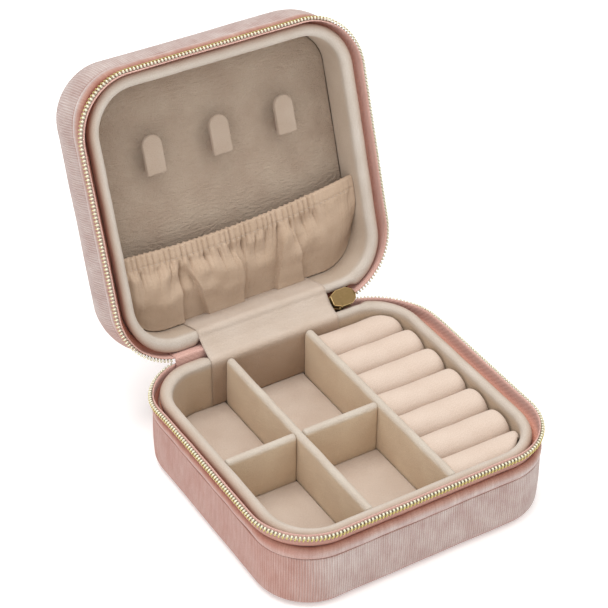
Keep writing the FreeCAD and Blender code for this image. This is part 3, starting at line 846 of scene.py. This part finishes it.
def hook(side):
    """A necklace hook: a suede-covered tongue with a round tip, held off the panel by its post."""
    half, tip, root = HOOK_HALF_W, HOOK_TIP_Y, HOOK_ROOT_Y
    z0, z1 = HOOK_LOW_Z, HOOK_HIGH_Z
    outline = [(half * math.cos(a), tip + half - half * math.sin(a)) for a in np.linspace(0, math.pi, 25)]
    outline += [(-half, y) for y in np.linspace(tip + half, root - 0.5, 8)[1:]]
    outline += [(-half + 0.15, root - 0.1), (-half + 0.5, root), (half - 0.5, root), (half - 0.15, root - 0.1)]
    outline += [(half, y) for y in np.linspace(root - 0.5, tip + half, 8)[:-1]]
    outline = np.array(outline)
    middle = np.array((0.0, (tip + root) / 2))
    rings = [(0.94, z0), (0.985, z0 + 0.15), (1.0, z0 + 0.5), (1.0, z1 - 0.5), (0.985, z1 - 0.2),
             (0.94, z1 - 0.02)]
    grid = np.zeros((len(outline), len(rings), 3))
    for j, (share, z) in enumerate(rings):
        grid[:, j, :2] = middle + (outline - middle) * share + (HOOK_X[side], 0)
        grid[:, j, 2] = z
    skin = Skin(lid=True)
    around = np.linspace(0, 36, len(outline) + 1)
    skin.grid(grid, around, lengths_along([(s * 5, z) for s, z in rings]), closed=True)
    skin.disc(grid[:, -1], 0.06)
    skin.disc(grid[:, 0], flip=True)
    return skin.make("hook_tongue_" + side, HOOKS, "lid", ["hook_tab_" + side])


# ---------------------------------------------------------------------- pocket
CASING = 4.0                              # depth of the gathered hem round the elastic
RUCHE = 2.0                               # pitch of the gathers at the mouth
CASING_LIFT = 7.0                         # front of the casing off the panel, clear of the elastic
NEAR_MOUTH = CASING + 2.0                 # down to here the rows of the mesh follow the mouth
# x at the hem, +1 where the cloth steps up or -1 where it steps down, and lean towards the mouth
PLEATS = ((-23.0, -1, -2.5), (-15.0, 1, -9.0), (-0.5, -1, -4.5), (12.0, 1, 2.0), (22.0, -1, -4.0))


def mouth_y(x):
    """The mouth line, a shallow sag from wall to wall."""
    t = x / IN_W
    return 13.5 - 1.5 * t - 2.6 * t * t


def hem_y(x):
    """The hem line, which follows the lining's corners."""
    past = max(0.0, abs(x) - (IN_W - IN_R))
    return IN_D - IN_R + math.sqrt(max(IN_R ** 2 - past ** 2, 0.0)) - 0.35


def fold(x, pitch, seed):
    """Uneven round-backed folds with narrow valleys, 0 on the crests and -1 in the valleys."""
    t = x / pitch + 0.55 * noise.noise(Vector((x / (pitch * 2.6), seed, 0)))
    size = 0.8 + 0.55 * noise.noise(Vector((x / (pitch * 1.4), seed + 4.0, 0)))
    return -size * (1 - abs(math.sin(math.pi * t)) ** 0.55)


def pocket_height(x, down, length):
    """How far the pocket stands off the panel, down mm below its mouth."""
    v = down / length
    lift = CASING_LIFT + 0.5 * math.sin(math.pi * min(1.0, v * 1.9))
    belly = lift + (1.3 - lift) * smooth((v - 0.42) / 0.58) ** 1.25
    below = max(0.0, down - CASING)
    in_casing = 1.0 - smooth(below / 0.8)
    stitched = math.exp(-((down - CASING) / 0.5) ** 2)
    calm = 1.0 - 0.8 * smooth((x - 25.0) / 7.0)
    drift = 0.10 * below * math.sin(x / 6.0)
    fine = fold(x + drift, RUCHE, 1.0) * (1.05 * in_casing + 1.5 * (1 - in_casing) * math.exp(-below / 3.6))
    medium = (fold(x + 1.6 * drift, 4.6, 6.0) * 2.3 * smooth(below / 2.5)
              * math.exp(-max(0.0, below - 4.0) / 4.5))
    sag = (noise.noise(Vector((x / 7.5, down / 6.0, 3.7))) * 1.9 * smooth(below / 4.0)
           * (1 - smooth((v - 0.6) / 0.35)))
    step = 0.0
    width = 0.12 + 2.4 * (1 - smooth((v - 0.14) / 0.28))
    for at, rise, lean in PLEATS:
        line = at + lean * (1 - v) ** 1.3 + 0.5 * math.sin(4 * v + at)
        step += 1.05 * rise * math.tanh((x - line) / width)
    step = (step + 0.3) * smooth((v - 0.12) / 0.22)
    loose_cloth = (fine + medium + sag) * calm + step - 0.22 * stitched
    wall_side = smooth((IN_W - abs(x)) / 1.6)
    return max(0.3, belly + loose_cloth * (0.3 + 0.7 * wall_side))


def pocket_rows(near, shares, length):
    """How far down each row of the mesh lies, where the pocket is this long."""
    return np.concatenate([near, NEAR_MOUTH + (length - NEAR_MOUTH) * shares])


def pocket():
    """Gathered cloth: ruched at the elastic, pleated into the hem."""
    xs = np.linspace(-IN_W + 0.1, IN_W - 0.1, 560)
    near, shares = np.linspace(0, NEAR_MOUTH, 26), np.linspace(0, 1, 64)[1:]
    behind = ((CASING, -2.1), (1.2, -2.0), (0.15, -1.5), (-0.1, -0.9))
    front = np.zeros((len(xs), len(behind) + len(near) + len(shares), 3))
    for i, x in enumerate(xs):
        length = hem_y(x) - mouth_y(x)
        mouth = mouth_y(x) + 0.22 * fold(x, RUCHE, 1.0)
        for j, down in enumerate(pocket_rows(near, shares, length)):
            h = pocket_height(x, down, length)
            turn = 0.45 * (1 - smooth(down / 0.6))
            front[i, j + len(behind)] = (x, mouth + down, PANEL_Z + h - turn)
        top = PANEL_Z + pocket_height(x, 0.0, length)
        for j, (dy, dz) in enumerate(behind):
            front[i, j] = (x, mouth + dy, max(PANEL_Z + 0.3, top + dz))
    skin = Skin(lid=True)
    down = pocket_rows(near, shares, hem_y(0) - mouth_y(0))
    skin.grid(front, xs * 1.3, np.concatenate([[-6, -2.5, -1, -0.4], down]))
    obj = skin.make("gathered_pocket", POCKET, "lid", ["pocket"])
    thicken(obj, 0.3, -1.0)
    return obj


def pocket_stitches():
    """One row of short stitches under the elastic, drawn down between the gathers."""
    skin = Skin(lid=True)
    x = -IN_W + 1.5
    sides = 6
    while x < IN_W - 2:
        size = 0.95 + 0.4 * noise.noise(Vector((x, 2.0, 0)))
        g = np.zeros((5, sides + 1, 3))
        for i, sx in enumerate(np.linspace(x, x + size, 5)):
            length = hem_y(sx) - mouth_y(sx)
            z = PANEL_Z + pocket_height(sx, CASING, length) + 0.08
            y = mouth_y(sx) + CASING
            r = (0.02, 0.12, 0.15, 0.12, 0.02)[i]
            for a in range(sides + 1):
                turn = 2 * math.pi * a / sides
                g[i, a] = (sx, y + r * math.cos(turn), z + r * math.sin(turn))
        skin.grid(g, np.arange(5.0), np.arange(sides + 1.0))
        x += size + 0.55
    return skin.make("pocket_stitching", STITCH, "lid", (), weld=0.001)


# ----------------------------------------------------------------------- hinge
def ribbon(name, material, path, x0, x1, nodes, slot, thickness, start, end, seed):
    """One cloth across the hinge, from base to lid."""
    path = np.array(path, float)
    xs = np.linspace(x0, x1, max(8, round((x1 - x0) / 0.9)))
    grid = np.zeros((len(xs), len(path), 3))
    grid[:, :, 0] = xs[:, None]
    grid[:, :, 1:] = path[None, :, :]
    grid = rough(grid, 0.10, 9.0, seed)
    skin = Skin()
    skin.grid(grid, xs, lengths_along(path))
    obj = skin.make(name, material, None, nodes)
    thicken(obj, thickness)
    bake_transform(obj)
    return obj


def resample(points, count):
    """The same line through evenly spaced points."""
    p = np.array(points, float)
    s = lengths_along(p)
    at = np.linspace(0, s[-1], count)
    return np.column_stack([np.interp(at, s, p[:, k]) for k in (0, 1)])


def on_lid(points):
    """(y, z) points drawn on the base, carried to the lid and reversed."""
    out = to_lid([(0, y, z) for y, z in points])
    return [(p[1], p[2]) for p in out][::-1]


def hinge_strip():
    """The lining strip: up the tray wall, over its rim, and across to the lid's."""
    inner, shoulder = IN_D - 0.3, RIM_Z - RIM_ROUND
    over_rim = arc(WALL_D - WALL_T / 2, shoulder, RIM_ROUND + 0.35, 176, 78, 8)
    base_side = [(inner, FLOOR_Z + 0.1), (inner, shoulder - 0.2)] + over_rim
    lid_side = on_lid([(inner, PANEL_Z + 0.1), (inner, shoulder - 0.2)] + over_rim)
    a, b = base_side[-1], lid_side[0]
    middle = ((a[0] + b[0]) / 2 + 0.2, (a[1] + b[1]) / 2 - 0.35)
    path = resample(base_side + [middle] + lid_side, 90)
    return ribbon("hinge_lining_strip", STRIP, path, -STRIP_HALF, STRIP_HALF,
                  ["strip_base", "strip_lid"], "lining", 0.35, a, b, 61)


def hinge_spine():
    """The spine outside the strip, from foot to foot of the tape."""
    side = [(WALL_D + 0.25, 18.0), (WALL_D + 0.3, 21.8), (WALL_D + 1.2, 23.1), (WALL_D + 1.95, 24.2),
            (WALL_D + 2.05, 26.6)]
    path = resample(side + [(HINGE_Y - 0.1, MID_Z)] + on_lid(side), 50)
    return ribbon("hinge_velvet_spine", HINGE_TAPE, path, *SPINE_X, ["spine_base", "spine_lid"],
                  "velvet", 0.45, side[-2], on_lid(side)[1], 67)


# ----------------------------------------------------------- camera and studio
def camera():
    """From the front left and above, with a long lens."""
    data = bpy.data.cameras.new("camera")
    obj = bpy.data.objects.new("camera", data)
    bpy.context.scene.collection.objects.link(obj)
    obj.location = (-0.26414, -0.39799, 0.42288)
    look = Vector((0.4051, 0.6830, -0.6078))
    obj.rotation_euler = look.to_track_quat("-Z", "Y").to_euler()
    data.lens, data.sensor_width = 118.05, 36.0
    data.shift_x, data.shift_y = 0.061, 0.0415
    data.clip_start, data.clip_end = 0.01, 20
    bpy.context.scene.camera = obj


def lamp(name, place_at, size, watts, colour=(1, 1, 1)):
    """A soft round lamp aimed at the case."""
    data = bpy.data.lights.new(name, "AREA")
    data.shape, data.size, data.energy, data.color = "DISK", size, watts, colour
    obj = bpy.data.objects.new(name, data)
    bpy.context.scene.collection.objects.link(obj)
    obj.location = place_at
    aim = Vector((0.0, 0.02, 0.03)) - Vector(place_at)
    obj.rotation_euler = aim.to_track_quat("-Z", "Y").to_euler()


def studio():
    """A pale floor, a pale sky and three soft lamps."""
    bpy.ops.mesh.primitive_plane_add(size=8)
    floor = bpy.context.object
    floor.name = "floor"
    n = Nodes("pale floor", coords="object")
    n.colour(n.ramp(n.noise(60.0, 60.0), [(0.3, (0.93, 0.93, 0.93, 1)), (0.7, (0.95, 0.95, 0.95, 1))]))
    n.set(Roughness=0.9, Specular_IOR_Level=0.1, Emission_Color=WHITE, Emission_Strength=0.22)
    floor.data.materials.append(n.material)
    world = bpy.data.worlds.new("studio")
    bpy.context.scene.world = world
    world.use_nodes = True
    world.node_tree.nodes["Background"].inputs["Color"].default_value = (1.0, 0.995, 0.985, 1)
    world.node_tree.nodes["Background"].inputs["Strength"].default_value = 0.58
    lamp("top", (-0.12, 0.16, 0.95), 0.75, 6.6, (1.0, 0.99, 0.975))
    lamp("key", (0.5, -0.35, 0.7), 0.7, 2.2, (1.0, 0.985, 0.96))
    lamp("fill", (-0.7, -0.45, 0.42), 0.9, 2.6)
    bpy.context.scene.view_settings.view_transform = "Standard"


# -------------------------------------------------------------------- assembly
for is_lid in (False, True):
    velvet_shell(is_lid)
    velvet_band(is_lid)
    tape_side(is_lid)
    teeth(is_lid)
    lining_wall(is_lid)

for where, x in zip(("left", "right"), DIV_X):
    wrapped_board("divider_cover_" + where, x - HALF_T, x + HALF_T, -IN_D + 0.05, IN_D - 0.6,
                  ["divider_" + where])
REACH = HALF_T + 0.12                     # a cross divider stops this far from a long one's middle
for where, x0, x1 in (("left", -IN_W + 0.1, DIV_X[0] - REACH), ("middle", DIV_X[0] + REACH, DIV_X[1] - REACH)):
    wrapped_board("cross_cover_" + where, x0, x1, CROSS_Y - HALF_T, CROSS_Y + HALF_T, ["cross_" + where])
tray_floor()
lid_panel()
for number in range(1, 8):
    ring_roll(number)
for where in HOOK_X:
    hook(where)
pocket()
pocket_stitches()
hinge_strip()
hinge_spine()

CARRIED = {"zip_slider": GOLD, "pull_tab": GOLD, "pocket_elastic": ELASTIC}
for node, obj in frame["nodes"].items():
    obj.data.materials.clear()
    obj.data.materials.append(CARRIED.get(node, HIDDEN))
for node in ("zip_slider", "pull_tab"):
    metal_part = frame["nodes"][node]
    metal_part.data.materials.append(PAINTED_HIGHLIGHT_GOLD)
    metal_part.modifiers.new("joined corners", "WELD").merge_threshold = 0.002 * MM
    # painted highlight on the bevelled edges: the bevel's faces take the brighter gold
    bevel = metal_part.modifiers.new("painted highlight edge", "BEVEL")
    bevel.width, bevel.segments, bevel.limit_method = 0.14 * MM, 1, "ANGLE"
    bevel.angle_limit, bevel.use_clamp_overlap = math.radians(40), False
    bevel.material = 1

camera()
studio()
